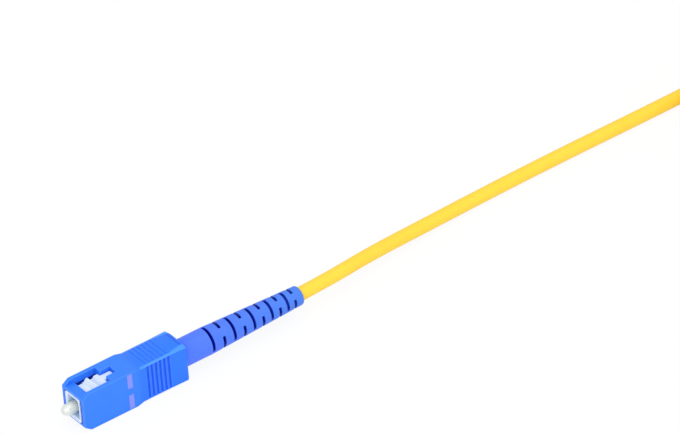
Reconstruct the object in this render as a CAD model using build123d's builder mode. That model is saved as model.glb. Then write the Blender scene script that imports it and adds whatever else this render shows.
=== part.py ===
"""Push-pull SC fibre connector on a 3 mm simplex cable.

The optical axis is X, and the ferrule points towards +X. The origin is on that axis, in the plane of
the plug frame's front face. Z is up and the connector lies on its narrow side. A station is a distance
back from the origin, so a station s lies at X = -s.
"""

import os
from math import cos, pi, radians, sin, tan

from build123d import *

# Clearances
running_gap = 0.10
seat_gap = 0.02
stop_gap = 0.20

# Plug frame: the white inner housing
frame_width = 4.9
frame_height = 5.9
frame_corner = 0.5
frame_mouth_width = 3.9
frame_mouth_height = 4.8
frame_mouth_corner = 0.6
frame_mouth_bevel = 0.25
frame_mouth_depth = 4.9
frame_shoulder = 0.7
frame_bore_radius = 2.0
ferrule_hole_gap = 0.2

# Push-pull grip: the blue outer housing
grip_setback = 0.2
grip_length = 26.1
grip_width = 7.4
grip_height = 9.0
grip_body_length = 13.2
grip_step_run = 1.5
body_edge_bevel = 0.05
grip_travel = 1.4
nose_run = 1.5
bridge_thickness = 0.4
bridge_length = 2.35
window_width = 5.6
window_length = 5.35
window_side_depth = 1.1
slot_width = 2.2
slot_length = 2.5
key_width = 2.4
key_height = 0.9
key_setback = 0.8
key_bevel = 0.5

# Finger end of the grip
waist_side_inset = 0.1
waist_top_inset = 0.2
waist_bevel_side = 0.55
waist_bevel_drop = 0.2
rear_bevel_side = 1.3
rear_bevel_drop = 0.4
rear_edge_bevel = 0.35
groove_count = 6
groove_pitch = 1.04
groove_width = 0.5
groove_depth_side = 0.2
groove_depth_top = 0.15
groove_setback = 1.54
lip_length = 0.8
lip_depth = 0.2

# Latch features on the plug frame, seen in the grip's windows
catch_height = 0.8
catch_ramp = 0.65
catch_top = 0.5
catch_width = 3.8
block_height = 0.65
block_length = 1.5
block_ramp = 0.5
block_width = 3.4
tail_side_gap = 0.2
relief_width = 0.55
relief_depth = 0.7
snap_window_length = 1.6
snap_window_height = 2.2
snap_window_setback = 0.9

# Ferrule, its metal flange and the glass fibre
ferrule_radius = 1.25
ferrule_length = 10.6
ferrule_stand_out = 2.5
ferrule_bevel = 0.35
ferrule_seat_step = 0.2
fibre_radius = 0.0625
rim_side_gap = 0.15
rim_thickness = 1.2
rim_notch_count = 4
rim_notch_width = 0.7
rim_notch_depth = 0.3
hub_radius = 1.6
hub_floor = 0.5
tail_radius = 1.0
tail_length = 3.8
tail_socket_depth = 2.0
guide_tube_radius = 0.75
guide_tube_length = 7.2
ferrule_travel = 1.2
tail_stop_gap = 1.0

# Spring and stop ring
spring_wire = 0.4
spring_wire_sides = 4
spring_radius = 1.3
spring_turns = 4
stop_insert = 4.8
stop_pocket_depth = 0.8
stop_pocket_gap = 0.15
stop_bore_radius = 0.95
collar_radius = 2.6
collar_thickness = 1.0
barrel_radius = 1.7
barrel_length = 5.2
barrel_groove_count = 1
barrel_groove_width = 0.35
barrel_groove_depth = 0.12
tab_height = 0.35

# Cable, yarn, crimp sleeve and boot
cable_radius = 1.5
buffer_radius = 0.45
yarn_thickness = 0.2
crimp_wall = 0.28
crimp_rear_length = 4.9
boot_length = 36.1
boot_neck_radius = 2.65
boot_neck_gap = 0.15
boot_radius = 3.0
boot_end_radius = 2.12
boot_end_round = 0.35
boot_facets = 30
boot_skin = 0.2
boot_mouth_depth = 1.0
boot_opening_gap = 0.2
boot_slot_width = 0.5
boot_slot_arc = 140
boot_slot_flats = 5
boot_slot_lean = 45
boot_slot_count = 10
boot_first_slot = 7.03
boot_first_pitch = 2.81
boot_last_pitch = 1.89

# Cable on the table: the points of its free run, and its put-away hank
table_drop = grip_height / 2
cable_low = cable_radius - table_drop
hank_start = 169.0
hank_run = 43.0
hank_side = 5.9
hank_fold_radius = 9.0
hank_rows = 2
hank_layers = 3
tie_width = 8.0
tie_thickness = 0.5

# Stations that follow from the sizes above
grip_end = grip_setback + grip_length
step_station = grip_setback + grip_body_length
waist_station = step_station + grip_step_run
window_start = grip_setback + bridge_length
window_end = window_start + window_length
slot_end = window_end + slot_length
channel_floor = frame_height / 2 + running_gap + bridge_thickness
catch_start = window_start + grip_travel + stop_gap
catch_end = catch_start + catch_ramp + catch_top
block_end = window_end - stop_gap
block_start = block_end - block_length
tail_block_end = slot_end - stop_gap
first_groove = waist_station + groove_setback
flare_start = first_groove + (groove_count - 1) * groove_pitch + groove_width + seat_gap
shoulder_end = frame_mouth_depth + frame_shoulder
ferrule_end = ferrule_length - ferrule_stand_out
ferrule_step = frame_mouth_depth - stop_gap
hub_end = ferrule_end + hub_floor
tail_end = hub_end + tail_length
socket_start = tail_end - tail_socket_depth
stop_start = tail_end + ferrule_travel + tail_stop_gap
frame_length = stop_start + stop_insert
bore_start = frame_length - grip_travel - stop_gap
spring_seat = stop_start + stop_pocket_depth
collar_end = frame_length + collar_thickness
barrel_end = collar_end + barrel_length
yarn_radius = barrel_radius + seat_gap + yarn_thickness
crimp_radius = yarn_radius + seat_gap + crimp_wall
crimp_start = collar_end + running_gap
crimp_step = barrel_end + stop_gap
crimp_shoulder = crimp_step + crimp_wall
crimp_end = crimp_shoulder + crimp_rear_length
crimp_rear_radius = cable_radius + seat_gap + crimp_wall
tail_start = crimp_step + stop_gap
boot_start = collar_end + stop_gap
boot_end = boot_start + boot_length
boot_neck_end = flare_start + grip_travel + 2 * stop_gap
boot_bore_radius = cable_radius + seat_gap
boot_taper_start = grip_end + boot_first_slot
cable_start = boot_end - boot_mouth_depth

cable_route = [
    (-cable_start, 0.0, 0.0),
    (-64.0, 0.0, 0.0),
    (-77.0, -2.7, -0.9),
    (-92.0, -5.1, -2.5),
    (-108.0, -6.3, cable_low),
    (-128.0, -6.6, cable_low),
    (-150.0, -6.5, cable_low),
    (-167.0, -6.1, cable_low),
]

os.makedirs("parts", exist_ok=True)


def section_plane(station):
    """Cross-section plane at a station, with its local axes along Y and Z."""
    return Plane.YZ.offset(-station)


def save(builder, name):
    """Label the finished piece and write its file."""
    builder.part.label = name
    export_step(builder.part, f"parts/{name}.step")


def bevelled_section(width, height, bevel_side, bevel_drop):
    """Rectangle whose four corners are cut by a bevel, drawn a quarter at a time."""
    with BuildSketch() as section:
        with BuildLine():
            Polyline(
                (0, height / 2),
                (width / 2 - bevel_side, height / 2),
                (width / 2, height / 2 - bevel_drop),
                (width / 2, 0),
            )
            mirror(about=Plane.YZ)
            mirror(about=Plane.XZ)
        make_face()
    return section.sketch


def half_section(profile):
    """Closed profile of (station, radius) points, to be revolved about the optical axis."""
    with BuildSketch() as section:
        with BuildLine():
            Polyline(*[(-station, radius) for station, radius in profile], close=True)
        make_face()
    return section.sketch


# Push-pull grip
waist_width = grip_width - 2 * waist_side_inset
waist_height = grip_height - 2 * waist_top_inset
rear_width = grip_width - 2 * rear_edge_bevel
rear_height = grip_height - 2 * rear_edge_bevel

with BuildPart() as grip:
    # Square-edged front body, drawn as a side view with a sloped nose
    with BuildSketch(Plane.XZ):
        with BuildLine():
            Polyline(
                (-grip_setback, 0),
                (-grip_setback, channel_floor),
                (-grip_setback - nose_run, grip_height / 2),
                (-step_station, grip_height / 2),
                (-step_station, 0),
            )
            mirror(about=Plane.XZ)
        make_face()
    extrude(amount=grip_width / 2, both=True)

    # Ramp to the waisted finger end, which flares back to the full height and has a bevelled rear edge
    grip_sections = [
        (step_station, grip_width, grip_height, body_edge_bevel, body_edge_bevel),
        (waist_station, waist_width, waist_height, waist_bevel_side, waist_bevel_drop),
        (flare_start, waist_width, waist_height, waist_bevel_side, waist_bevel_drop),
        (grip_end - rear_edge_bevel, grip_width, grip_height, rear_bevel_side, rear_bevel_drop),
        (grip_end, rear_width, rear_height, rear_bevel_side, rear_bevel_drop),
    ]
    for front, back in zip(grip_sections, grip_sections[1:]):
        for station, *sizes in (front, back):
            with BuildSketch(section_plane(station)):
                add(bevelled_section(*sizes))
        loft(ruled=True)

    # Shallow lip across the rear edge, above and below
    with Locations((-grip_end, 0, grip_height / 2), (-grip_end, 0, -grip_height / 2)):
        Box(2 * lip_length, grip_width, 2 * lip_depth, mode=Mode.SUBTRACT)

    # Finger grooves: deep on the sides, faint above and below
    for number in range(groove_count):
        groove_x = -(first_groove + number * groove_pitch)
        side_y = waist_width / 2
        top_z = waist_height / 2
        with Locations((groove_x, side_y, 0), (groove_x, -side_y, 0)):
            Box(groove_width, 2 * groove_depth_side, waist_height, mode=Mode.SUBTRACT)
        with Locations((groove_x, 0, top_z), (groove_x, 0, -top_z)):
            Box(groove_width, waist_width - 2 * waist_bevel_side, 2 * groove_depth_top, mode=Mode.SUBTRACT)

    # Polarity key on the far side
    key_length = step_station - grip_setback - key_setback
    key_middle = grip_setback + key_setback + key_length / 2
    with Locations((-key_middle, -grip_width / 2, 0)):
        Box(key_length, 2 * key_height, key_width)
    key_nose = grip.faces().sort_by(Axis.Y)[0].edges().sort_by(Axis.X)[-1]
    chamfer(key_nose, key_bevel)

    # Cavity for the plug frame, a round bore for the boot's neck and a wider mouth for the boot
    with BuildSketch(section_plane(grip_setback)):
        RectangleRounded(frame_width + 2 * running_gap, frame_height + 2 * running_gap, frame_corner)
    extrude(amount=-grip_length, mode=Mode.SUBTRACT)
    with BuildSketch(section_plane(bore_start)):
        Circle(boot_neck_radius + boot_neck_gap)
    extrude(amount=-(grip_end - bore_start), mode=Mode.SUBTRACT)
    with BuildSketch(section_plane(flare_start)):
        Circle(boot_radius + boot_opening_gap)
    extrude(amount=-(grip_end - flare_start), mode=Mode.SUBTRACT)

    # Sunk channel between the rails, then the latch window and its narrow slot, above and below
    for side in (1, -1):
        with BuildSketch(Plane.XY.offset(side * channel_floor)):
            with Locations((-(grip_setback + window_end) / 2, 0)):
                Rectangle(window_end - grip_setback, window_width)
        extrude(amount=side * grip_height, mode=Mode.SUBTRACT)
        with BuildSketch(Plane.XY.offset(side * (frame_height / 2 - window_side_depth))):
            with Locations((-(window_start + window_end) / 2, 0)):
                Rectangle(window_length, window_width)
            with Locations((-(window_start + slot_end) / 2, 0)):
                Rectangle(slot_end - window_start, slot_width)
        extrude(amount=side * grip_height, mode=Mode.SUBTRACT)
save(grip, "grip")

# Plug frame
deck = frame_height / 2
tail_width = slot_width - 2 * tail_side_gap

with BuildPart() as plug_frame:
    with BuildSketch(section_plane(0)):
        RectangleRounded(frame_width, frame_height, frame_corner)
    extrude(amount=-frame_length)

    # Reliefs along the corners, beside the deck and in front of and behind the catch
    for start, end in ((window_start, catch_start), (catch_end, window_end)):
        for side in (1, -1):
            with Locations(
                (-(start + end) / 2, side * frame_width / 2, deck),
                (-(start + end) / 2, side * frame_width / 2, -deck),
            ):
                Box(end - start, 2 * relief_width, 2 * relief_depth, mode=Mode.SUBTRACT)

    # Latch catch: a ramp, a flat top and a square rear face, above and below
    with BuildSketch(Plane.XZ):
        with BuildLine():
            Polyline(
                (-catch_start, 0),
                (-catch_start, deck),
                (-catch_start - catch_ramp, deck + catch_height),
                (-catch_end, deck + catch_height),
                (-catch_end, 0),
            )
            mirror(about=Plane.XZ)
        make_face()
    extrude(amount=catch_width / 2, both=True)

    # Ramped block behind the catch, and its narrow tail in the slot, above and below
    with BuildSketch(Plane.XZ):
        with BuildLine():
            Polyline(
                (-block_start, 0),
                (-block_start, deck),
                (-block_start - block_ramp, deck + block_height),
                (-block_end, deck + block_height),
                (-block_end, 0),
            )
            mirror(about=Plane.XZ)
        make_face()
    extrude(amount=block_width / 2, both=True)
    with Locations((-(block_end + tail_block_end) / 2, 0, 0)):
        Box(tail_block_end - block_end, tail_width, frame_height + 2 * block_height)

    # Square mouth round the ferrule, the flange's shoulder and the round rear bore
    with BuildSketch(section_plane(0)):
        RectangleRounded(frame_mouth_width, frame_mouth_height, frame_mouth_corner)
    extrude(amount=-frame_mouth_depth, mode=Mode.SUBTRACT)
    with BuildSketch(section_plane(0)):
        Circle(ferrule_radius + ferrule_hole_gap)
    extrude(amount=-shoulder_end, mode=Mode.SUBTRACT)
    with BuildSketch(section_plane(shoulder_end)):
        Circle(frame_bore_radius)
    extrude(amount=-(frame_length - shoulder_end), mode=Mode.SUBTRACT)
    mouth_edges = plug_frame.faces().sort_by(Axis.X)[-1].inner_wires()[0].edges()
    chamfer(mouth_edges, frame_mouth_bevel)

    # Side windows that the stop ring's tabs snap into
    snap_middle = stop_start + snap_window_setback + snap_window_length / 2
    with Locations((-snap_middle, 0, 0)):
        Box(snap_window_length, 2 * frame_width, snap_window_height, mode=Mode.SUBTRACT)
save(plug_frame, "plug_frame")

# Ferrule: ground front wall, and a thinner seat in the flange
seat_radius = ferrule_radius - ferrule_seat_step

with BuildPart() as ferrule:
    with BuildSketch():
        add(
            half_section(
                [
                    (-ferrule_stand_out, fibre_radius),
                    (-ferrule_stand_out, ferrule_radius - ferrule_bevel),
                    (ferrule_bevel - ferrule_stand_out, ferrule_radius),
                    (ferrule_step, ferrule_radius),
                    (ferrule_step, seat_radius),
                    (ferrule_end, seat_radius),
                    (ferrule_end, fibre_radius),
                ]
            )
        )
    revolve(axis=Axis.X)
save(ferrule, "ferrule")

# Bare glass fibre through the ferrule's bore
with BuildPart() as fibre:
    with BuildSketch(section_plane(-ferrule_stand_out)):
        Circle(fibre_radius)
    extrude(amount=-ferrule_length)
save(fibre, "fibre")

# Metal flange: notched rim, hub over the ferrule's seat, hollow tail
rim_radius = frame_bore_radius - rim_side_gap
rim_end = shoulder_end + rim_thickness
buffer_hole_radius = buffer_radius + seat_gap

with BuildPart() as ferrule_flange:
    with BuildSketch():
        add(
            half_section(
                [
                    (shoulder_end, seat_radius),
                    (shoulder_end, rim_radius),
                    (rim_end, rim_radius),
                    (rim_end, hub_radius),
                    (hub_end, hub_radius),
                    (hub_end, tail_radius),
                    (tail_end, tail_radius),
                    (tail_end, guide_tube_radius),
                    (socket_start, guide_tube_radius),
                    (socket_start, buffer_hole_radius),
                    (ferrule_end, buffer_hole_radius),
                    (ferrule_end, seat_radius),
                ]
            )
        )
    revolve(axis=Axis.X)
    with BuildSketch(section_plane(shoulder_end)):
        with PolarLocations(rim_radius, rim_notch_count):
            Rectangle(2 * rim_notch_depth, rim_notch_width)
    extrude(amount=-rim_thickness, mode=Mode.SUBTRACT)
save(ferrule_flange, "ferrule_flange")

# Guide tube that leads the buffered fibre into the flange's tail
with BuildPart() as guide_tube:
    with BuildSketch(section_plane(socket_start)):
        Circle(guide_tube_radius)
        Circle(buffer_hole_radius, mode=Mode.SUBTRACT)
    extrude(amount=-guide_tube_length)
save(guide_tube, "guide_tube")

# Coil spring between the flange's hub and the stop ring's pocket
spring_start = hub_end + spring_wire / 2 + seat_gap
spring_length = spring_seat - hub_end - spring_wire - 2 * seat_gap

with BuildPart() as ferrule_spring:
    with BuildLine() as spring_line:
        Helix(
            pitch=spring_length / spring_turns,
            height=spring_length,
            radius=spring_radius,
            center=(-spring_start, 0, 0),
            direction=(-1, 0, 0),
        )
    with BuildSketch(Plane(origin=spring_line.line @ 0, z_dir=spring_line.line % 0)):
        RegularPolygon(spring_wire / 2, spring_wire_sides)
    sweep(path=spring_line.line, is_frenet=True)
save(ferrule_spring, "ferrule_spring")

# Stop ring: front plug with the spring's pocket, collar, and the barrel that the yarn is crimped on
stop_radius = frame_bore_radius - seat_gap
pocket_radius = spring_radius + spring_wire / 2 + stop_pocket_gap
tab_reach = stop_radius + tab_height
tab_length = snap_window_length - 2 * running_gap
tab_width = snap_window_height - 2 * running_gap

with BuildPart() as stop_ring:
    with BuildSketch():
        add(
            half_section(
                [
                    (stop_start, pocket_radius),
                    (stop_start, stop_radius),
                    (frame_length, stop_radius),
                    (frame_length, collar_radius),
                    (collar_end, collar_radius),
                    (collar_end, barrel_radius),
                    (barrel_end, barrel_radius),
                    (barrel_end, stop_bore_radius),
                    (spring_seat, stop_bore_radius),
                    (spring_seat, pocket_radius),
                ]
            )
        )
    revolve(axis=Axis.X)
    # Grip grooves round the barrel
    groove_step = barrel_length / (barrel_groove_count + 1)
    for number in range(1, barrel_groove_count + 1):
        with BuildSketch(section_plane(collar_end + number * groove_step)):
            Circle(barrel_radius)
            Circle(barrel_radius - barrel_groove_depth, mode=Mode.SUBTRACT)
        extrude(amount=-barrel_groove_width, mode=Mode.SUBTRACT)
    # Tabs that snap into the plug frame's side windows
    tab_root = (stop_radius + pocket_radius) / 2
    for side in (1, -1):
        with Locations((-snap_middle, side * (tab_root + tab_reach) / 2, 0)):
            Box(tab_length, tab_reach - tab_root, tab_width)
save(stop_ring, "stop_ring")

# Buffered fibre from the flange through to the cable's jacket
with BuildPart() as fibre_buffer:
    with BuildSketch(section_plane(ferrule_end)):
        Circle(buffer_radius)
    extrude(amount=-(tail_start - ferrule_end))
save(fibre_buffer, "fibre_buffer")

# Aramid yarn, folded back over the barrel
with BuildPart() as aramid_yarn:
    with BuildSketch(section_plane(collar_end + stop_gap)):
        Circle(yarn_radius)
        Circle(barrel_radius + seat_gap, mode=Mode.SUBTRACT)
    extrude(amount=-(barrel_length - 2 * stop_gap))
save(aramid_yarn, "aramid_yarn")

# Crimp sleeve: wide over the yarn, narrow over the cable's jacket
with BuildPart() as crimp_sleeve:
    with BuildSketch():
        add(
            half_section(
                [
                    (crimp_start, yarn_radius + seat_gap),
                    (crimp_start, crimp_radius),
                    (crimp_shoulder, crimp_radius),
                    (crimp_shoulder, crimp_rear_radius),
                    (crimp_end, crimp_rear_radius),
                    (crimp_end, cable_radius + seat_gap),
                    (crimp_step, cable_radius + seat_gap),
                    (crimp_step, yarn_radius + seat_gap),
                ]
            )
        )
    revolve(axis=Axis.X)
save(crimp_sleeve, "crimp_sleeve")

# Cable jacket inside the crimp sleeve and the boot
with BuildPart() as cable_tail:
    with BuildSketch(section_plane(tail_start)):
        Circle(cable_radius)
    extrude(amount=-(cable_start - tail_start))
save(cable_tail, "cable_tail")

# Bend-relief boot: tapered sleeve with rings of paired slots, each ring turned a quarter from the last
slot_floor = boot_bore_radius + boot_skin
flat_arc = boot_slot_arc / boot_slot_flats
flat_corner = slot_floor / cos(radians(flat_arc / 2))
slot_outside = 1.5 * boot_radius
pitch_change = (boot_first_pitch - boot_last_pitch) / (boot_slot_count - 2)

with BuildPart() as boot:
    # Neck inside the grip, a straight run, and a faceted taper with a rounded end
    with BuildSketch(section_plane(boot_start)):
        Circle(boot_neck_radius)
    extrude(amount=-(boot_neck_end - boot_start))
    for station, radius in (
        (boot_neck_end, boot_radius),
        (boot_taper_start, boot_radius),
        (boot_end - boot_end_round, boot_end_radius),
        (boot_end - 0.3 * boot_end_round, boot_end_radius - 0.3 * boot_end_round),
        (boot_end, boot_end_radius - boot_end_round),
    ):
        with BuildSketch(section_plane(station)):
            RegularPolygon(radius, boot_facets)
    loft(ruled=True)

    # Stepped bore: wide over the crimp sleeve, close on the cable
    for radius, end in (
        (crimp_radius + seat_gap, crimp_shoulder + seat_gap),
        (crimp_rear_radius + seat_gap, crimp_end + seat_gap),
        (boot_bore_radius, boot_end),
    ):
        with BuildSketch(section_plane(boot_start)):
            Circle(radius)
        extrude(amount=-(end - boot_start), mode=Mode.SUBTRACT)

    # Slots, closed below by a thin skin over the cable
    slot_station = grip_end + boot_first_slot
    for ring in range(boot_slot_count):
        lean = boot_slot_lean + 90 * (ring % 2)
        with BuildSketch(section_plane(slot_station - boot_slot_width / 2)):
            for turn in (0, 180):
                first_angle = lean + turn - boot_slot_arc / 2
                angles = [radians(first_angle + flat * flat_arc) for flat in range(boot_slot_flats + 1)]
                floor = [(flat_corner * cos(angle), flat_corner * sin(angle)) for angle in angles]
                outside = [(slot_outside * cos(angle), slot_outside * sin(angle)) for angle in angles]
                Polygon(*floor, *reversed(outside), align=None)
        extrude(amount=-boot_slot_width, mode=Mode.SUBTRACT)
        slot_station += boot_first_pitch - ring * pitch_change
save(boot, "boot")

# Free run of the cable: straight runs joined by arcs as large as the runs allow
corner_radii = []
for before, corner, after in zip(cable_route, cable_route[1:], cable_route[2:]):
    run_in = Vector(*corner) - Vector(*before)
    run_out = Vector(*after) - Vector(*corner)
    half_turn = radians(run_in.get_angle(run_out)) / 2
    corner_radii.append(0.45 * min(run_in.length, run_out.length) / tan(half_turn))

with BuildPart() as cable:
    with BuildLine() as cable_line:
        FilletPolyline(*cable_route, radius=corner_radii)
    with BuildSketch(Plane(origin=cable_line.line @ 0, z_dir=cable_line.line % 0)):
        Circle(cable_radius)
    sweep(path=cable_line.line)
save(cable, "cable")

# Put-away length of the cable: the outer shape of its folded hank, hollowed below where the tie passes
hank_inside = hank_fold_radius - cable_radius
hank_outside = hank_inside + 2 * cable_radius * hank_rows
hank_height = 2 * cable_radius * hank_layers
hank_middle = hank_start + hank_run / 2
tie_room = tie_thickness + running_gap

with BuildPart() as cable_hank:
    with BuildSketch(Plane.XY.offset(-table_drop)):
        with Locations((-hank_middle, hank_side)):
            SlotCenterToCenter(hank_run, 2 * hank_outside)
            SlotCenterToCenter(hank_run, 2 * hank_inside, mode=Mode.SUBTRACT)
    extrude(amount=hank_height)
    with Locations((-hank_middle, hank_side, -table_drop)):
        Box(tie_width + 2 * stop_gap, 4 * hank_outside, 2 * tie_room, mode=Mode.SUBTRACT)
save(cable_hank, "cable_hank")

# Strap that ties the hank: a flat band round both of its runs
tie_span = 2 * (hank_outside + running_gap)
tie_bottom = tie_thickness - table_drop
tie_top = hank_height - table_drop + running_gap
tie_height = tie_top - tie_bottom

with BuildPart() as hank_tie:
    with BuildSketch(section_plane(hank_middle - tie_width / 2)):
        with Locations((hank_side, (tie_bottom + tie_top) / 2)):
            Rectangle(tie_span + 2 * tie_thickness, tie_height + 2 * tie_thickness)
            Rectangle(tie_span, tie_height, mode=Mode.SUBTRACT)
    extrude(amount=-tie_width)
save(hank_tie, "hank_tie")

free_run = cable_line.wires()[0].length
tube_volume = pi * cable_radius**2 * free_run
print("cable bend radii, mm:", [round(radius, 1) for radius in corner_radii])
print(f"cable free run {free_run:.1f} mm, volume {cable.part.volume:.1f} against {tube_volume:.1f} mm3")
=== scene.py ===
"""Looks of a push-pull SC fibre connector on a yellow simplex cable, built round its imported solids.

Lengths are metres in the shared frame, unless a comment says mm. X is the optical axis with the ferrule
towards +X, Z is up, and the origin is on the axis in the plane of the plug frame's front face.
"""

from math import pi, radians

import bmesh
import bpy
import numpy as np
from mathutils import Matrix, Vector


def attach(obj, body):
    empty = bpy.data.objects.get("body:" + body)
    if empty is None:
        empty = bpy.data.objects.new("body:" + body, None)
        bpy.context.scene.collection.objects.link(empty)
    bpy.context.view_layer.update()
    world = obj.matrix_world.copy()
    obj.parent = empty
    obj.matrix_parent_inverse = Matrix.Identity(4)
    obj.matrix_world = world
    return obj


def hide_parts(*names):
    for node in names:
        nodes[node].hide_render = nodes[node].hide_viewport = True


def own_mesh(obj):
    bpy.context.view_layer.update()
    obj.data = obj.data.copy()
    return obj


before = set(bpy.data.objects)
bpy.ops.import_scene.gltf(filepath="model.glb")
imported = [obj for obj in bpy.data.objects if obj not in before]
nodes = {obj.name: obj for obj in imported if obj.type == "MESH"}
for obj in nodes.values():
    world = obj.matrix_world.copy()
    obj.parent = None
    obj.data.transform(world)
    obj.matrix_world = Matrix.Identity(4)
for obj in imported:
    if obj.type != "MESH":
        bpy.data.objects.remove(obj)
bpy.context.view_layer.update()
scene = bpy.context.scene
scene.view_settings.view_transform = "Standard"

mm = 0.001
floor_height = -4.5 * mm
# Boot's taper: where it starts and ends, in mm behind the origin, and its radii there in mm
taper_start, taper_end = 33.33, 56.35
wide_radius, end_radius = 3.0, 2.12


# Camera: the photograph's viewing angle, far away with a long lens, as product shots are made
camera_distance = 3.6
picture_width = 137.96 * mm
sensor_width = 36.0
# The picture's middle, to the right of the origin and above it
aim_right, aim_up = 54.19 * mm, 38.45 * mm
view_right = Vector((-0.8069, 0.5859, -0.0761)).normalized()
view_up = Vector((-0.3987, -0.4453, 0.8016))
view_up = (view_up - view_up.dot(view_right) * view_right).normalized()
view_back = view_right.cross(view_up)
aim = aim_right * view_right + aim_up * view_up

camera_data = bpy.data.cameras.new("camera")
camera_data.sensor_width = sensor_width
camera_data.lens = sensor_width * camera_distance / picture_width
camera = bpy.data.objects.new("camera", camera_data)
camera.matrix_world = Matrix.Translation(aim + camera_distance * view_back) @ Matrix(
    (view_right, view_up, view_back)
).transposed().to_4x4()
scene.collection.objects.link(camera)
scene.camera = camera


# Helpers for colours, nodes and meshes
def linear(colour):
    """Linear RGBA of an sRGB hex colour."""
    srgb = np.array([int(colour[i : i + 2], 16) for i in (1, 3, 5)]) / 255
    rgb = np.where(srgb <= 0.04045, srgb / 12.92, ((srgb + 0.055) / 1.055) ** 2.4)
    return (*rgb.tolist(), 1.0)


def add(tree, kind, links=None, **settings):
    """Add one node: settings are its properties, links give its sockets a value or another node's output."""
    made = tree.nodes.new(kind)
    for key, value in settings.items():
        setattr(made, key, value)
    for socket, source in (links or {}).items():
        if isinstance(source, bpy.types.NodeSocket):
            tree.links.new(source, made.inputs[socket])
        else:
            made.inputs[socket].default_value = source
    return made


def new_material(name):
    """An empty node material and its tree."""
    made = bpy.data.materials.new(name)
    made.use_nodes = True
    made.node_tree.nodes.clear()
    return made, made.node_tree


def new_piece(name, data, material, body, slot, *stands_for):
    """Put a mesh or curve into the scene as a piece that rides on a body."""
    piece = bpy.data.objects.new(name, data)
    scene.collection.objects.link(piece)
    data.materials.append(material)
    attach(piece, body)
    if stands_for:
        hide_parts(*stands_for)
    return piece


# In a new surface, points this close are one, and edges sharper than this stay sharp in the shading
point_merge = 1e-8
surface_crease = radians(50)


def grid_mesh(name, points, closed_u=False, closed_v=False, capped=False):
    """Quad mesh over a grid of points: rows along u, columns along v, wrapped where closed, ends capped."""
    rows, columns = points.shape[:2]
    index = np.arange(rows * columns).reshape(rows, columns)
    if closed_u:
        index = np.vstack([index, index[:1]])
    if closed_v:
        index = np.hstack([index, index[:, :1]])
    corners = [index[:-1, :-1], index[:-1, 1:], index[1:, 1:], index[1:, :-1]]
    faces = np.stack(corners, axis=-1).reshape(-1, 4).tolist()
    if capped:
        faces.append(np.arange(columns)[::-1].tolist())
        faces.append((np.arange(columns) + (rows - 1) * columns).tolist())
    mesh = bpy.data.meshes.new(name)
    mesh.from_pydata(points.reshape(-1, 3).tolist(), [], faces)
    shape = bmesh.new()
    shape.from_mesh(mesh)
    bmesh.ops.remove_doubles(shape, verts=shape.verts, dist=point_merge)
    bmesh.ops.recalc_face_normals(shape, faces=shape.faces)
    shape.to_mesh(mesh)
    shape.free()
    mesh.shade_smooth()
    mesh.set_sharp_from_angle(angle=surface_crease)
    return mesh


def turned(profile, sides):
    """Lathe surface: each (x, radius) of a profile, carried round the optical axis in equal steps."""
    profile = np.asarray(profile, float)
    angle = np.linspace(0, 2 * pi, sides, endpoint=False)
    x, radius = profile[:, :1], profile[:, 1:]
    ring = [x + 0 * angle, radius * np.cos(angle), radius * np.sin(angle)]
    return np.stack(ring, axis=-1)


# A direction that no path runs along, from which a tube's cross directions start
off_path = np.array([0.31, 0.21, 0.93])


def tube(path, radius, sides):
    """Round tube: a circle carried along a path, in the plane of two directions square to the path."""
    along = np.gradient(path, axis=0)
    along /= np.linalg.norm(along, axis=1, keepdims=True)
    aside = np.cross(along, off_path)
    aside /= np.linalg.norm(aside, axis=1, keepdims=True)
    across = np.cross(along, aside)
    angle = np.linspace(0, 2 * pi, sides, endpoint=False)[None, :, None]
    round_path = aside[:, None] * np.cos(angle) + across[:, None] * np.sin(angle)
    return path[:, None] + radius * round_path


def bounded(tree, *limits):
    """Mask of a box: 1 where each value lies within half a length of its middle, 0 elsewhere."""
    mask = None
    for value, middle, half in limits:
        within = add(
            tree, "ShaderNodeMath", {0: value, 1: middle, 2: half}, operation="COMPARE"
        ).outputs["Value"]
        if mask is not None:
            both = add(tree, "ShaderNodeMath", {0: mask, 1: within}, operation="MULTIPLY")
            within = both.outputs["Value"]
        mask = within
    return mask


def places(tree):
    """Object coordinates, and their distances from the optical axis's own planes."""
    place = add(tree, "ShaderNodeTexCoord").outputs["Object"]
    off = add(tree, "ShaderNodeVectorMath", {0: place}, operation="ABSOLUTE").outputs["Vector"]
    return [add(tree, "ShaderNodeSeparateXYZ", {"Vector": vector}).outputs for vector in (place, off)]


def band_scale(spacing):
    """Scale at which a wave texture's bands lie a spacing apart: half a turn over ten spacings."""
    return pi / (10 * spacing)


# Polymers: size of their clouds, reach and limits of the painted shade in their recesses, spread of their
# roughness
cloud_size = 3 * mm
recess_reach = 1.2 * mm
recess_closed, recess_open = 0.1, 0.72
polymer_wear = 0.08
polymer_ior, polymer_specular = 1.5, 0.3


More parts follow.
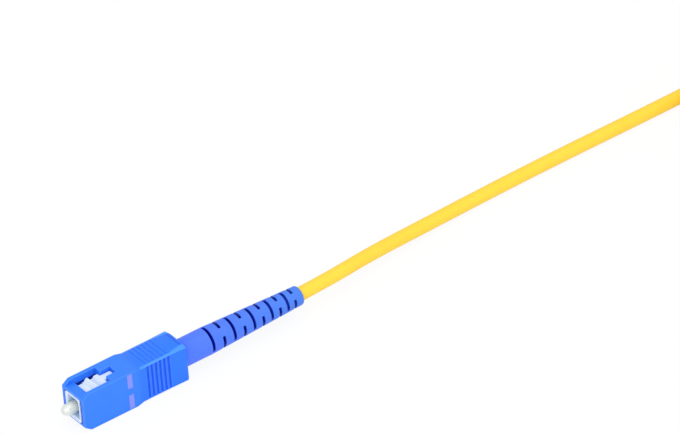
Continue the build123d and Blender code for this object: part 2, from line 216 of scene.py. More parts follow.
def moulded(name, tone, shade, roughness, grain, depth, recess_shade=None):
    """Moulded or extruded polymer: a cloudy tone, a fine tool grain and roughness that varies with it.

    Grain and depth are the size and height of the tool texture in metres. The colour given for recesses is
    painted shade, laid into narrow recesses by how closed in they are. The shader and the colour's node are
    returned too, so that other tones and painted light can be laid over the colour.
    """
    made, tree = new_material(name)
    place = add(tree, "ShaderNodeTexCoord").outputs["Object"]
    cloud = add(tree, "ShaderNodeTexNoise", {"Vector": place, "Scale": 1 / cloud_size, "Detail": 3.0})
    skin = add(
        tree,
        "ShaderNodeMix",
        {"Factor": cloud.outputs["Fac"], "A": linear(shade), "B": linear(tone)},
        data_type="RGBA",
    )
    # Painted shade: narrow recesses are painted towards the colour given for them, by how closed in they are
    if recess_shade:
        hollow = add(
            tree, "ShaderNodeAmbientOcclusion", {"Distance": recess_reach}, only_local=True, samples=16
        )
        openness = add(
            tree,
            "ShaderNodeMapRange",
            {"Value": hollow.outputs["AO"], "From Min": recess_closed, "From Max": recess_open},
        )
        skin = add(
            tree,
            "ShaderNodeMix",
            {"Factor": openness.outputs["Result"], "A": linear(recess_shade), "B": skin.outputs["Result"]},
            data_type="RGBA",
        )
    texture = add(tree, "ShaderNodeTexNoise", {"Vector": place, "Scale": 1 / grain, "Detail": 2.0})
    tool_grain = texture.outputs["Fac"]
    worn = add(
        tree,
        "ShaderNodeMapRange",
        {"Value": tool_grain, "To Min": roughness - polymer_wear, "To Max": roughness + polymer_wear},
    )
    bump = add(tree, "ShaderNodeBump", {"Height": tool_grain, "Distance": depth, "Strength": 0.6})
    shader = add(
        tree,
        "ShaderNodeBsdfPrincipled",
        {
            "Base Color": skin.outputs["Result"],
            "Roughness": worn.outputs["Result"],
            "Normal": bump.outputs["Normal"],
            "IOR": polymer_ior,
            "Specular IOR Level": polymer_specular,
        },
    )
    add(tree, "ShaderNodeOutputMaterial", {"Surface": shader.outputs["BSDF"]})
    return made, tree, shader, skin


# Moulded PBT in blue: a satin, evenly coloured skin whose tool grain softens every highlight, with dark blue
# painted shade in its recesses
blue_pbt, tree, shader, skin = moulded(
    "moulded_blue_pbt", "#2E7DF6", "#2876F0", 0.42, 0.3 * mm, 0.01 * mm, recess_shade="#0A2B9A"
)
spot, off = places(tree)

# Painted shade: the grip's inside is painted with the full recess shade, and in its top grooves, from their
# floor up to the top face, the painted shade is faint
cavity_half_width, cavity_half_height = 2.9 * mm, 2.95 * mm
top_groove_floor, top_face, top_openness = 3.95 * mm, 4.1 * mm, 0.8
openness = skin.inputs["Factor"].links[0].from_socket
shallow = add(
    tree,
    "ShaderNodeMapRange",
    {"Value": off["Z"], "From Min": top_groove_floor, "From Max": top_face, "To Max": top_openness},
).outputs["Result"]
openness = add(tree, "ShaderNodeMath", {0: openness, 1: shallow}, operation="MAXIMUM").outputs["Value"]
inside = bounded(tree, (off["Y"], 0.0, cavity_half_width), (off["Z"], 0.0, cavity_half_height))
openness = add(
    tree, "ShaderNodeMath", {0: openness, 1: inside}, operation="SUBTRACT", use_clamp=True
).outputs["Value"]
tree.links.new(openness, skin.inputs["Factor"])

# Painted highlight: its convex edges are painted paler, where their rounding catches the light. Rays that
# start there into the wall soon meet its other face
edge_reach = 0.3 * mm
sharp_edge, no_edge, edge_highlight_most = 0.5, 0.85, 0.7
convex = add(
    tree, "ShaderNodeAmbientOcclusion", {"Distance": edge_reach}, inside=True, only_local=True, samples=16
)
edge_highlight = add(
    tree,
    "ShaderNodeMapRange",
    {
        "Value": convex.outputs["AO"],
        "From Min": sharp_edge,
        "From Max": no_edge,
        "To Min": edge_highlight_most,
        "To Max": 0.0,
    },
).outputs["Result"]

# Painted shade: its finger end is painted a shade deeper, where the light falls off towards the rear, from
# where the body ends to where the waist is full
body_end, waist_full = -13.4 * mm, -14.9 * mm
finger_end_shade = add(
    tree, "ShaderNodeMapRange", {"Value": spot["X"], "From Min": body_end, "From Max": waist_full}
).outputs["Result"]

# Painted highlight: its broad bevels are painted paler, where they catch the light. They get broader from the
# last grooves to the rear edge
bevel_front, bevel_rear = -22.2 * mm, -25.95 * mm
bevel_front_y, bevel_rear_y = 3.05 * mm, 2.4 * mm
bevel_start = add(
    tree,
    "ShaderNodeMapRange",
    {
        "Value": spot["X"],
        "From Min": bevel_front,
        "From Max": bevel_rear,
        "To Min": bevel_front_y,
        "To Max": bevel_rear_y,
    },
).outputs["Result"]
beyond = add(
    tree, "ShaderNodeMath", {0: off["Y"], 1: bevel_start}, operation="GREATER_THAN"
).outputs["Value"]

# Middles and half lengths of the fields that follow: the bevels' painted highlight, the painted shade line
# along the lip across the rear edge, the painted shade on the floors of the side grooves, and the two lilac
# witness marks that are printed across the near side
bevel_x, bevel_z = (-20.5 * mm, 5.8 * mm), (4.3 * mm, 0.25 * mm)
lip_x, lip_y, lip_z = (-25.5 * mm, 0.18 * mm), (0.0, 2.4 * mm), (4.4 * mm, 0.2 * mm)
groove_x, groove_y, groove_z = (-19 * mm, 3 * mm), (3.38 * mm, 0.12 * mm), (0.0, 4.1 * mm)
mark_x, mark_y, mark_z = (-11.9 * mm, 0.6 * mm), (3.8 * mm, 0.3 * mm), (2.55 * mm, 1.7 * mm)
bevel_highlight = bounded(tree, (beyond, 1.0, 0.1), (spot["X"], *bevel_x), (off["Z"], *bevel_z))
# Painted shade: a dark line along the step of the lip at the rear edge, where shade falls
lip_shade_line = bounded(tree, (spot["X"], *lip_x), (off["Y"], *lip_y), (off["Z"], *lip_z))
# Painted shade: the floors of the side grooves are painted darker, where shade falls in them
groove_shade = bounded(tree, (spot["X"], *groove_x), (off["Y"], *groove_y), (off["Z"], *groove_z))
marks = bounded(tree, (spot["X"], *mark_x), (spot["Y"], *mark_y), (off["Z"], *mark_z))
colour = skin.outputs["Result"]
# Over the skin in turn: painted shade on the finger end and the groove floors, painted highlights on the
# bevels and edges, the lip's painted shade line, and the printed marks
for mask, over in (
    (finger_end_shade, "#1F72F0"),
    (groove_shade, "#0F55E6"),
    (bevel_highlight, "#3F8EF6"),
    (edge_highlight, "#5C9BFF"),
    (lip_shade_line, "#0A48D4"),
    (marks, "#7E8AED"),
):
    laid = add(tree, "ShaderNodeMix", {"Factor": mask, "A": colour, "B": linear(over)}, data_type="RGBA")
    colour = laid.outputs["Result"]
tree.links.new(colour, shader.inputs["Base Color"])

# Moulded PBT in white: the same skin, a little chalkier, with pale blue painted shade in its recesses, for
# shade lit by light off the grip. Its mouth is painted white at the front and pale blue further in: painted
# shade, tinted blue as painted light from the grip, which shines through
white_pbt, tree, shader, skin = moulded(
    "moulded_white_pbt", "#D6E2F5", "#CDDAEF", 0.5, 0.3 * mm, 0.008 * mm, recess_shade="#A9CDFA"
)
spot, off = places(tree)
mouth_half_width, mouth_half_height = 1.98 * mm, 2.43 * mm
mouth_shade_full = -2 * mm
# Painted shade and painted blue light inside the mouth, fuller further in from the front face
mouth = bounded(tree, (off["Y"], 0.0, mouth_half_width), (off["Z"], 0.0, mouth_half_height))
deeper = add(tree, "ShaderNodeMapRange", {"Value": spot["X"], "From Min": 0.0, "From Max": mouth_shade_full})
mouth_shade_and_glow = add(
    tree,
    "ShaderNodeMix",
    {"Factor": deeper.outputs["Result"], "A": linear("#EAF5FF"), "B": linear("#8CC6FF")},
    data_type="RGBA",
)
mouth_painted = add(
    tree,
    "ShaderNodeMix",
    {"Factor": mouth, "A": skin.outputs["Result"], "B": mouth_shade_and_glow.outputs["Result"]},
    data_type="RGBA",
)
tree.links.new(mouth_painted.outputs["Result"], shader.inputs["Base Color"])

# Thermoplastic rubber: more violet than the grip, softer gloss and a slightly greasy grain. Its slots are
# painted dark below the taper, painted shade for their depth, and the rubber turns a little greener towards
# the cable. So does the slots' painted shade, painted as the yellow cable seen in shade through them
boot_rubber, tree, shader, skin = moulded(
    "moulded_boot_rubber", "#4B77F5", "#4470F0", 0.5, 0.35 * mm, 0.012 * mm
)
spot, _ = places(tree)
# Depths at which the painted shade starts and is full, and the middle and half length of the stretch with
# slots
dark_start, dark_full = 0.04 * mm, 0.2 * mm
slotted_x = (-44.6 * mm, 11.7 * mm)
place = add(tree, "ShaderNodeTexCoord").outputs["Object"]
from_axis = add(
    tree, "ShaderNodeVectorMath", {0: place, 1: (0.0, 1.0, 1.0)}, operation="MULTIPLY"
).outputs["Vector"]
from_axis = add(tree, "ShaderNodeVectorMath", {0: from_axis}, operation="LENGTH").outputs["Value"]
taper = {"Value": spot["X"], "From Min": -taper_start * mm, "From Max": -taper_end * mm}
down_taper = add(tree, "ShaderNodeMapRange", taper).outputs["Result"]
taper_radius = add(
    tree, "ShaderNodeMapRange", {**taper, "To Min": wide_radius * mm, "To Max": end_radius * mm}
).outputs["Result"]
depth = add(
    tree, "ShaderNodeMath", {0: taper_radius, 1: from_axis}, operation="SUBTRACT"
).outputs["Value"]
dark = add(
    tree, "ShaderNodeMapRange", {"Value": depth, "From Min": dark_start, "From Max": dark_full}
).outputs["Result"]
on_taper = bounded(tree, (spot["X"], *slotted_x))
dark = add(tree, "ShaderNodeMath", {0: dark, 1: on_taper}, operation="MULTIPLY").outputs["Value"]
rubber, slot_shade = [
    add(
        tree, "ShaderNodeMix", {"Factor": down_taper, "A": start, "B": linear(end)}, data_type="RGBA"
    ).outputs["Result"]
    for start, end in ((skin.outputs["Result"], "#467BE2"), (linear("#0414A0"), "#002CA0"))
]
# Painted shade in the slots, laid over the rubber
slot_shaded = add(tree, "ShaderNodeMix", {"Factor": dark, "A": rubber, "B": slot_shade}, data_type="RGBA")
tree.links.new(slot_shaded.outputs["Result"], shader.inputs["Base Color"])

# PVC jacket: a smooth extruded yellow skin with faint cloudiness, dull enough to stay yellow at its edges
yellow_pvc, _, shader, _ = moulded(
    "extruded_yellow_pvc", "#FAD345", "#F5CC3B", 0.5, 0.5 * mm, 0.006 * mm
)
shader.inputs["Specular IOR Level"].default_value = 0.25
# Zirconia: dense off-white ceramic, ground and polished to a hard gloss
zirconia, _, shader, _ = moulded("polished_zirconia", "#D0D4CD", "#C8CDC6", 0.28, 0.2 * mm, 0.001 * mm)
shader.inputs["IOR"].default_value = 2.1
shader.inputs["Specular IOR Level"].default_value = 0.5
# Tight buffer and guide tube: plain white nylon and PTFE, smooth and dull
buffer_nylon, *_ = moulded("extruded_buffer_nylon", "#F2F2EE", "#E9E9E4", 0.45, 0.3 * mm, 0.004 * mm)
# Aramid yarn: dull gold fibres
aramid, *_ = moulded("aramid_yarn_fibre", "#E9CF74", "#D2B45A", 0.6, 0.15 * mm, 0.03 * mm)

# Metals: spread of their roughness and height of their rings
metal_wear = 0.06
ring_height = 0.003 * mm


def metal(name, tone, roughness, ring):
    """Turned or drawn metal: rings round the optical axis, spaced ring metres, in roughness and height."""
    made, tree = new_material(name)
    place = add(tree, "ShaderNodeTexCoord").outputs["Object"]
    rings = add(
        tree,
        "ShaderNodeTexWave",
        {"Vector": place, "Scale": band_scale(ring), "Distortion": 0.6, "Detail": 2.0},
        bands_direction="X",
    ).outputs["Fac"]
    worn = add(
        tree,
        "ShaderNodeMapRange",
        {"Value": rings, "To Min": roughness - metal_wear, "To Max": roughness + metal_wear},
    )
    bump = add(tree, "ShaderNodeBump", {"Height": rings, "Distance": ring_height, "Strength": 0.5})
    shader = add(
        tree,
        "ShaderNodeBsdfPrincipled",
        {
            "Base Color": linear(tone),
            "Metallic": 1.0,
            "Roughness": worn.outputs["Result"],
            "Normal": bump.outputs["Normal"],
        },
    )
    add(tree, "ShaderNodeOutputMaterial", {"Surface": shader.outputs["BSDF"]})
    return made


# Nickel-plated brass: a warm bright plate over lathe rings
nickel_plate = metal("nickel_plated_brass", "#D9D3C6", 0.24, 0.15 * mm)
# Stainless spring wire: drawn, so bright along its length
spring_steel = metal("drawn_stainless_wire", "#C9CACC", 0.28, 0.12 * mm)
# Drawn aluminium: a soft grey crimp sleeve
crimp_metal = metal("drawn_aluminium", "#D5D6D8", 0.35, 0.2 * mm)

# Woven nylon: dark matt threads in a twill, drawn at 0.8 mm a thread because real ones are too fine to show
woven_nylon, tree = new_material("woven_nylon_strap")
thread = 0.8 * mm
thread_height = 0.1 * mm
place = add(tree, "ShaderNodeTexCoord").outputs["Object"]
along, across = [
    add(
        tree, "ShaderNodeTexWave", {"Vector": place, "Scale": band_scale(thread)}, bands_direction=way
    ).outputs["Fac"]
    for way in ("X", "DIAGONAL")
]
weave = add(tree, "ShaderNodeMath", {0: along, 1: across}, operation="MULTIPLY").outputs["Value"]
threads = add(
    tree,
    "ShaderNodeMix",
    {"Factor": weave, "A": linear("#17191C"), "B": linear("#33373D")},
    data_type="RGBA",
)
bump = add(tree, "ShaderNodeBump", {"Height": weave, "Distance": thread_height, "Strength": 0.8})
shader = add(
    tree,
    "ShaderNodeBsdfPrincipled",
    {
        "Base Color": threads.outputs["Result"],
        "Roughness": 0.8,
        "Sheen Weight": 0.3,
        "Normal": bump.outputs["Normal"],
    },
)
add(tree, "ShaderNodeOutputMaterial", {"Surface": shader.outputs["BSDF"]})

# Bare silica fibre: clear glass
silica, tree = new_material("fused_silica_fibre")
glass = add(
    tree,
    "ShaderNodeBsdfPrincipled",
    {"Base Color": linear("#DDE6F2"), "Roughness": 0.05, "IOR": 1.46, "Transmission Weight": 0.6},
)
add(tree, "ShaderNodeOutputMaterial", {"Surface": glass.outputs["BSDF"]})


# Cable: the route of its free run, then the runs and folds of its put-away hank, as one smooth spline
cable_radius = 1.5 * mm
cable_route = mm * np.array(
    [
        (-55.7, 0.0, 0.0),
        (-64.0, -0.15, 0.15),
        (-77.0, -2.6, -0.9),
        (-92.0, -4.8, -2.5),
        (-108.0, -5.86, -3.0),
        (-128.0, -6.13, -3.0),
        (-150.0, -5.97, -3.0),
        (-167.0, -6.1, -3.0),
    ]
)
near_fold_x = -169 * mm
far_fold_x = -212 * mm
hank_y = 5.9 * mm
# A fold is a half circle of points, with one more on the run at each of its ends, a lead away
fold_lead = 4 * mm
fold_steps = 8
# Radius and height of each fold, the far ones and the near ones in turn. The cable changes row or layer
# only on the runs from a far fold to a near one
fold_radii = mm * np.array([12, 9, 9, 9, 9, 12, 12, 12, 12, 9, 9.0])
fold_heights = mm * np.array([-3, -3, -3, 0, 0, 0, 0, 3, 3, 3, 3.0])
# Where a run climbs a layer it bows aside, clear of the run that changes row beside it
run_bows = mm * np.array([0, 0, -1.2, 0, 0, 0, 0.1, 0, 0, 0])
# A spline of order 3 runs inside its control points, so they stand a little further out
inside_share = 1 - (pi / fold_steps) ** 2 / 8
# The strap passes below the lowest layer, so it lifts the runs' middles, and it draws the layers together
# by a share of their height. Such a spline gives a control point three quarters of the weight beside it
tie_lift, tie_draw, point_weight = 0.3 * mm, 1 / 15, 0.75

fold = np.arange(len(fold_radii))[:, None]
step = np.arange(-1, fold_steps + 2)[None, :]
turned_by = np.clip(step, 0, fold_steps)
angle = -pi / 2 - pi * (fold + turned_by / fold_steps)
outwards = np.where(fold % 2 == 0, 1.0, -1.0)
fold_x = np.where(fold % 2 == 0, far_fold_x, near_fold_x) + outwards * fold_lead * (step != turned_by)
radius = fold_radii[:, None] / inside_share
folds = np.stack(
    [
        fold_x + radius * np.cos(angle),
        hank_y + radius * np.sin(angle),
        fold_heights[:, None] + 0 * angle,
    ],
    axis=-1,
)
run_middles = (folds[:-1, -1] + folds[1:, 0]) / 2
run_middles[:, 1] += run_bows
run_middles[:, 2] += (tie_lift - tie_draw * run_middles[:, 2]) / point_weight
hank_points = np.concatenate([folds[:-1], run_middles[:, None]], axis=1).reshape(-1, 3)
cable_points = np.vstack([cable_route, hank_points, folds[-1]])
cable_points[-1, 0] += fold_lead

cable_curve = bpy.data.curves.new("cable_jacket", "CURVE")
cable_curve.dimensions = "3D"
cable_curve.bevel_depth = cable_radius
cable_curve.bevel_resolution = 10
cable_curve.resolution_u = 8
cable_curve.use_fill_caps = True
spline = cable_curve.splines.new("NURBS")
spline.points.add(len(cable_points) - 1)
spline.points.foreach_set("co", np.hstack([cable_points, np.ones((len(cable_points), 1))]).ravel())
spline.order_u = 3
spline.use_endpoint_u = True
cable = new_piece("cable_jacket", cable_curve, yellow_pvc, "core", "cable_jacket", "cable", "cable_hank")

# Bare end of the cable: yarn cut short round the white buffered fibre. The profiles are (x, radius) from the
# jacket's end
cable_end = cable_points[-1]
yarn_end = mm * np.array(
    [(-0.5, 0), (-0.5, 1.0), (0, 1.1), (1.2, 0.95), (2.2, 0.7), (2.6, 0.45), (2.6, 0)]
)
buffer_end = mm * np.array([(-0.5, 0), (-0.5, 0.45), (6.4, 0.45), (6.5, 0.4), (6.5, 0)])
for name, profile, finish, slot in (
    ("end_yarn", yarn_end, aramid, "aramid"),
    ("end_buffer", buffer_end, buffer_nylon, "buffer_plastic"),
):
    mesh = grid_mesh(name, cable_end + turned(profile, 32), closed_v=True)
    new_piece(name, mesh, finish, "core", slot)

# Tie round the hank's middle: a strap along a squared oval, whose end laps over its beginning on top. The
# oval is a cosine and a sine raised to a small power, which squares it
tie_width = 8 * mm
tie_thickness = 0.5 * mm
tie_half_span, tie_half_height, tie_middle = 13.75 * mm, 4.3 * mm, 0.3 * mm
tie_power = 0.22
# Angles, in radians: where the strap begins, how far its end laps, and how long it takes to climb over
tie_start, tie_lap, tie_climb = pi / 3, 1.0, 0.2
path_angle = np.linspace(0, 2 * pi + tie_lap, 161)[:, None]
lifted = tie_thickness * np.clip((path_angle - 2 * pi + tie_climb) / tie_climb, 0, 1)
edge = np.array([[-1, 0], [1, 0], [1, 1], [-1, 1]], float)
outside = lifted + tie_thickness * edge[:, 1]
across, upwards = [
    np.sign(wave) * np.abs(wave) ** tie_power
    for wave in (np.cos(path_angle + tie_start), np.sin(path_angle + tie_start))
]
tie_points = np.stack(
    [
        (near_fold_x + far_fold_x) / 2 + tie_width / 2 * edge[:, 0] + 0 * outside,
        hank_y + (tie_half_span + outside) * across,
        tie_middle + (tie_half_height + outside) * upwards,
    ],
    axis=-1,
)
tie_mesh = grid_mesh("strap", tie_points, closed_v=True, capped=True)
tie = new_piece("strap", tie_mesh, woven_nylon, "core", "tie_fabric", "hank_tie")


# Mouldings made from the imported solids, with rounded edges. Points this close are one, facets this flat are
# joined, edges sharper than the crease stay sharp in the shading, and those past the corner angle are rounded
solid_merge = 1e-7
flat_angle = radians(1)
solid_crease = radians(35)
corner_angle = radians(80)


def joined(mesh, cuts=()):
    """Merge a mesh's points and join its flat facets, then cut it along planes of equal height."""
    shape = bmesh.new()
    shape.from_mesh(mesh)
    bmesh.ops.remove_doubles(shape, verts=shape.verts, dist=solid_merge)
    bmesh.ops.dissolve_limit(shape, angle_limit=flat_angle, verts=shape.verts, edges=shape.edges)
    for height in cuts:
        parts = [*shape.verts, *shape.edges, *shape.faces]
        bmesh.ops.bisect_plane(
            shape, geom=parts, dist=solid_merge, plane_co=(0, 0, height), plane_no=(0, 0, 1)
        )
    shape.to_mesh(mesh)
    shape.free()


def softened(name, node, radius, material, body, slot, cuts=(), moved=None):
    """Copy of a solid: triangles merged, flat facets joined, and sharp corners rounded.

    It can be cut at some heights first, and its points then moved by a function of their array.
    """
    source = nodes[node].data
    points = np.empty(3 * len(source.vertices))
    source.vertices.foreach_get("co", points)
    triangles = np.empty(len(source.loops), int)
    source.loops.foreach_get("vertex_index", triangles)
    mesh = bpy.data.meshes.new(name)
    mesh.from_pydata(points.reshape(-1, 3).tolist(), [], triangles.reshape(-1, 3).tolist())
    joined(mesh, cuts)
    if moved:
        points = np.empty(3 * len(mesh.vertices))
        mesh.vertices.foreach_get("co", points)
        mesh.vertices.foreach_set("co", moved(points.reshape(-1, 3)).ravel())
        joined(mesh)
    mesh.shade_smooth()
    mesh.set_sharp_from_angle(angle=solid_crease)
    piece = new_piece(name, mesh, material, body, slot, node)
    rounded = piece.modifiers.new("rounded edges", "BEVEL")
    rounded.width = radius
    rounded.segments = 2
    rounded.limit_method = "ANGLE"
    rounded.angle_limit = corner_angle
    rounded.use_clamp_overlap = False
    rounded.harden_normals = True
    return piece


# Grip's waist and side grooves: the waist's ends along X and its edge in Y and Z, the grooves' floor in Y,
# and the heights at which the mesh is cut, so that only the ends of the floors move
waist_front, waist_rear = -15.5 * mm, -22.5 * mm
waist_edge = mm * np.array([3.6, 4.1])
groove_floor, floor_tolerance = 3.4 * mm, 0.02 * mm
groove_cuts = (-3.9 * mm, 3.9 * mm)


def ended_grooves(points):
    """Raise the ends of the side grooves' floors to the edge of the waist, so that the grooves end there."""
    off = np.abs(points)
    waist = (points[:, 0] < waist_front) & (points[:, 0] > waist_rear)
    floors = waist & (np.abs(off[:, 1] - groove_floor) < floor_tolerance)
    floor_ends = floors & (off[:, 2] > waist_edge[1])
    points[floor_ends, 1:] = np.sign(points[floor_ends, 1:]) * waist_edge
    return points


edge_radius = 0.05 * mm
softened("grip_moulding", "grip", edge_radius, blue_pbt, "grip", "grip_plastic", groove_cuts, ended_grooves)
softened("frame_moulding", "plug_frame", edge_radius, white_pbt, "core", "frame_plastic")

# Boot: a tapered sleeve, turned about the axis, with rings of slots sunk into it. A slot is a rounded box
# in the sleeve's unrolled surface, and the radius falls smoothly to the slot's floor inside it. Lengths here
# are mm, and stations are distances behind the origin
boot_start, neck_end, wide_start, neck_radius, end_rounding = 20.6, 23.96, 24.04, 2.65, 0.35
slot_floor, slot_half_width, slot_half_arc, slot_corner, slot_lip = 1.74, 0.31, radians(70), 0.2, 0.05
slot_rings, first_pitch, pitch_drop = 10, 2.81, 0.115
slot_ring = np.arange(slot_rings)
slot_stations = taper_start + np.concatenate([[0], np.cumsum(first_pitch - pitch_drop * slot_ring[:-1])])
slot_angles = radians(45) + radians(90) * (slot_ring % 2)
lip_offsets = np.array([-0.09, -0.05, -0.025, 0.0, 0.025, 0.05, 0.09])
slot_edges = np.concatenate([slot_stations - slot_half_width, slot_stations + slot_half_width])
stations = np.unique(
    np.concatenate(
        [
            np.linspace(boot_start, neck_end, 5),
            np.linspace(wide_start, taper_end, 50),
            (slot_edges[:, None] + lip_offsets).ravel(),
            taper_end + end_rounding * np.sin(np.linspace(0, pi / 2, 7)),
        ]
    ).round(4)
)
both_ends = slot_half_arc * np.array([-1, 1, -1, 1]) + pi * np.array([0, 0, 1, 1])
slot_ends = (slot_angles[:2, None] + both_ends).ravel()
around = np.unique(
    np.concatenate(
        [
            np.linspace(0, 2 * pi, 96, endpoint=False),
            ((slot_ends[:, None] + radians(1) * np.arange(-8, 9)) % (2 * pi)).ravel(),
        ]
    ).round(4)
)
sleeve = np.interp(
    stations,
    [neck_end, wide_start, taper_start, taper_end],
    [neck_radius, wide_radius, wide_radius, end_radius],
)
past_taper = np.clip(stations - taper_end, 0, end_rounding)
sleeve = sleeve - end_rounding + np.sqrt(end_rounding**2 - past_taper**2)
off_ring = np.abs(stations[:, None, None] - slot_stations)
off_angle = np.abs((around[None, :, None] - slot_angles + pi / 2) % pi - pi / 2)
from_corner = np.stack(
    [
        off_ring - slot_half_width + slot_corner + 0 * off_angle,
        (off_angle - slot_half_arc) * sleeve[:, None, None] + slot_corner,
    ]
)
outside_slot = np.linalg.norm(np.maximum(from_corner, 0), axis=0)
outside_slot += np.minimum(from_corner.max(axis=0), 0) - slot_corner
sunk = np.clip(0.5 - outside_slot.min(axis=-1) / (2 * slot_lip), 0, 1)
sunk = sunk * sunk * (3 - 2 * sunk)
outer = sleeve[:, None] - sunk * (sleeve[:, None] - slot_floor)
# Its stepped bore, bevelled at both ends, from the cable's end back to the neck, as stations and radii
bore_bevel = 0.05
bore = np.array(
    [
        (taper_end + end_rounding - bore_bevel, 1.52),
        (31.0, 1.52),
        (31.0, 1.82),
        (26.1, 1.82),
        (26.1, 2.24),
        (boot_start + bore_bevel, 2.24),
        (boot_start, 2.3),
        (boot_start, 2.6),
    ]
)
boot_x = -np.concatenate([stations, bore[:, 0]])[:, None] + 0 * around
boot_radii = np.vstack([outer, bore[:, 1:] + 0 * around])
boot_points = mm * np.stack([boot_x, boot_radii * np.cos(around), boot_radii * np.sin(around)], axis=-1)
boot_mesh = grid_mesh("boot_moulding", boot_points, closed_u=True, closed_v=True)
new_piece("boot_moulding", boot_mesh, boot_rubber, "core", "boot_rubber", "boot")

# Ferrule: ground wall, bevelled and slightly domed tip, and the thinner seat in its flange, as (x, radius)
ferrule_profile = mm * np.array(
    [
        (2.5, 0.0625),
        (2.498, 0.4),
        (2.485, 0.72),
        (2.44, 0.8),
        (1.75, 1.19),
        (1.66, 1.235),
        (1.55, 1.25),
        (-4.66, 1.25),
        (-4.7, 1.21),
        (-4.7, 1.05),
        (-8.1, 1.05),
        (-8.1, 0.0625),
    ]
)
ferrule_mesh = grid_mesh("ferrule_pin", turned(ferrule_profile, 96), closed_u=True, closed_v=True)
new_piece("ferrule_pin", ferrule_mesh, zirconia, "ferrule", "zirconia", "ferrule")

# Spring: a wire along a helix, whose end turns lie closed. A real one shortens as the ferrule moves back;
# here it is one fixed shape, with a mesh of its own
spring_turns = 6.5
spring_wire = 0.4 * mm
spring_radius = 1.3 * mm
spring_front, spring_rear = -8.82 * mm, -15.18 * mm
closed_end = 0.95 * spring_wire
wound = np.linspace(0, spring_turns, 313)
spring_x = np.interp(
    wound,
    [0, 1, spring_turns - 1, spring_turns],
    [spring_front, spring_front - closed_end, spring_rear + closed_end, spring_rear],
)
spring_y, spring_z = [spring_radius * wave(2 * pi * wound) for wave in (np.cos, np.sin)]
spring_path = np.stack([spring_x, spring_y, spring_z], axis=-1)
spring_mesh = grid_mesh("spring_wire", tube(spring_path, spring_wire / 2, 12), closed_v=True, capped=True)
spring = new_piece("spring_wire", spring_mesh, spring_steel, "core", "spring_steel", "ferrule_spring")
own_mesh(spring)

# Buffered fibre: a straight tube that gives way to the ferrule
buffer_front, buffer_rear, buffer_radius = -8.1 * mm, -26.0 * mm, 0.45 * mm
buffer_x = np.linspace(buffer_front, buffer_rear, 60)
buffer_path = np.stack([buffer_x, 0 * buffer_x, 0 * buffer_x], axis=-1)
buffer_mesh = grid_mesh("buffered_fibre", tube(buffer_path, buffer_radius, 32), closed_v=True, capped=True)
buffered = new_piece("buffered_fibre", buffer_mesh, buffer_nylon, "core", "buffer_plastic", "fibre_buffer")
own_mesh(buffered)

# Aramid yarn: a sleeve of strands, whose radius is two cosines of the angle, of 48 strands and of 31, that
# drift along the barrel with a slow twist. Lengths here are mm
yarn_front, yarn_rear, yarn_outer, yarn_inner = -20.6, -25.4, 1.86, 1.73
strand_angle = np.linspace(0, 2 * pi, 288, endpoint=False)
strand_x = np.linspace(yarn_front, yarn_rear, 25)[:, None]
ripple = 0.04 * np.cos(48 * strand_angle + 1.5 * strand_x)
ripple = ripple + 0.02 * np.cos(31 * strand_angle - 2 * strand_x)
yarn_radii = np.vstack([yarn_outer + ripple, yarn_inner + 0 * ripple])
yarn_x = np.vstack([strand_x, strand_x[::-1]]) + 0 * yarn_radii
yarn_y, yarn_z = [yarn_radii * wave(strand_angle) for wave in (np.cos, np.sin)]
yarn_points = mm * np.stack([yarn_x, yarn_y, yarn_z], axis=-1)
yarn_mesh = grid_mesh("folded_yarn", yarn_points, closed_u=True, closed_v=True)
new_piece("folded_yarn", yarn_mesh, aramid, "core", "aramid", "aramid_yarn")

# Solids whose shape is right keep it
kept_finishes = {
    "fibre": silica,
    "ferrule_flange": nickel_plate,
    "guide_tube": buffer_nylon,
    "stop_ring": nickel_plate,
    "crimp_sleeve": crimp_metal,
    "cable_tail": yellow_pvc,
}
for node, finish in kept_finishes.items():
    nodes[node].data.materials.clear()
    nodes[node].data.materials.append(finish)


# Floor, world and lamps
white = (1.0, 1.0, 1.0, 1.0)


def background_rays(tree):
    """Mask of the rays that show the background: from the camera, off a gloss or through glass."""
    rays = add(tree, "ShaderNodeLightPath").outputs
    seen = rays["Is Camera Ray"]
    for kind in ("Is Glossy Ray", "Is Transmission Ray"):
        seen = add(tree, "ShaderNodeMath", {0: seen, 1: rays[kind]}, operation="MAXIMUM").outputs["Value"]
    return seen


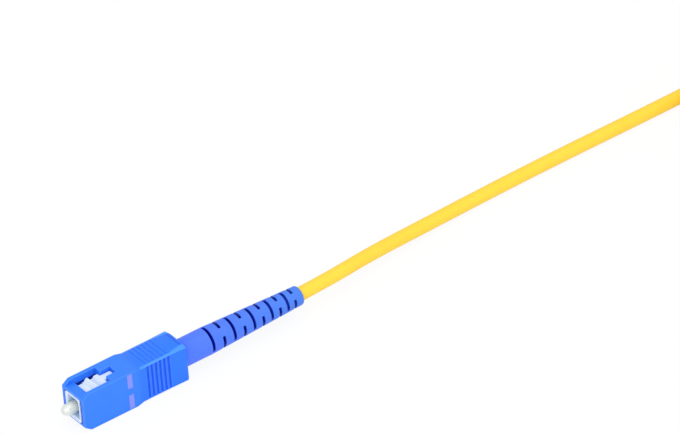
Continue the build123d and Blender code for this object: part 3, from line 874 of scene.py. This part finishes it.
# White sweep: nine tenths plain white to the eye, and the rest a matt surface that shows the shadow
floor_material, tree = new_material("white_sweep")
plain_share = 0.9
floor_half = 1.0
plain = add(
    tree, "ShaderNodeMath", {0: background_rays(tree), 1: plain_share}, operation="MULTIPLY"
).outputs["Value"]
sweep = add(tree, "ShaderNodeBsdfDiffuse", {"Color": linear("#F4F4F4")})
glow = add(tree, "ShaderNodeEmission", {"Color": white, "Strength": 1.0})
mixed = add(
    tree, "ShaderNodeMixShader", {0: plain, 1: sweep.outputs["BSDF"], 2: glow.outputs["Emission"]}
)
add(tree, "ShaderNodeOutputMaterial", {"Surface": mixed.outputs["Shader"]})
side = np.linspace(-floor_half, floor_half, 3)
floor_points = np.stack(np.meshgrid(side, side, [floor_height], indexing="ij"), axis=-1)[:, :, 0]
floor_mesh = grid_mesh("floor", floor_points)
floor_mesh.materials.append(floor_material)
floor = bpy.data.objects.new("floor", floor_mesh)
scene.collection.objects.link(floor)

# Studio: white to the eye, and a soft light from all sides on the object
world = bpy.data.worlds.new("studio")
scene.world = world
world.use_nodes = True
world.node_tree.nodes.clear()
tree = world.node_tree
ambient = add(tree, "ShaderNodeBackground", {"Color": white, "Strength": 0.7})
backdrop = add(tree, "ShaderNodeBackground", {"Color": white, "Strength": 1.0})
mixed = add(
    tree,
    "ShaderNodeMixShader",
    {0: background_rays(tree), 1: ambient.outputs["Background"], 2: backdrop.outputs["Background"]},
)
add(tree, "ShaderNodeOutputWorld", {"Surface": mixed.outputs["Shader"]})

# Soft lamps: place, size in metres and power in watts
lamps = {
    "top_softbox": ((-0.05, 0.1, 0.6), 0.6, 1.45),
    "side_softbox": ((0.25, 0.55, 0.3), 0.5, 0.7),
    "front_softbox": ((0.5, 0.35, 0.35), 0.4, 1.6),
}
look_at = Vector((-0.03, 0, 0))
for name, (place, size, power) in lamps.items():
    light = bpy.data.lights.new(name, "AREA")
    light.size = size
    light.energy = power
    lamp = bpy.data.objects.new(name, light)
    lamp.location = place
    lamp.rotation_euler = (look_at - Vector(place)).to_track_quat("-Z", "Y").to_euler()
    scene.collection.objects.link(lamp)
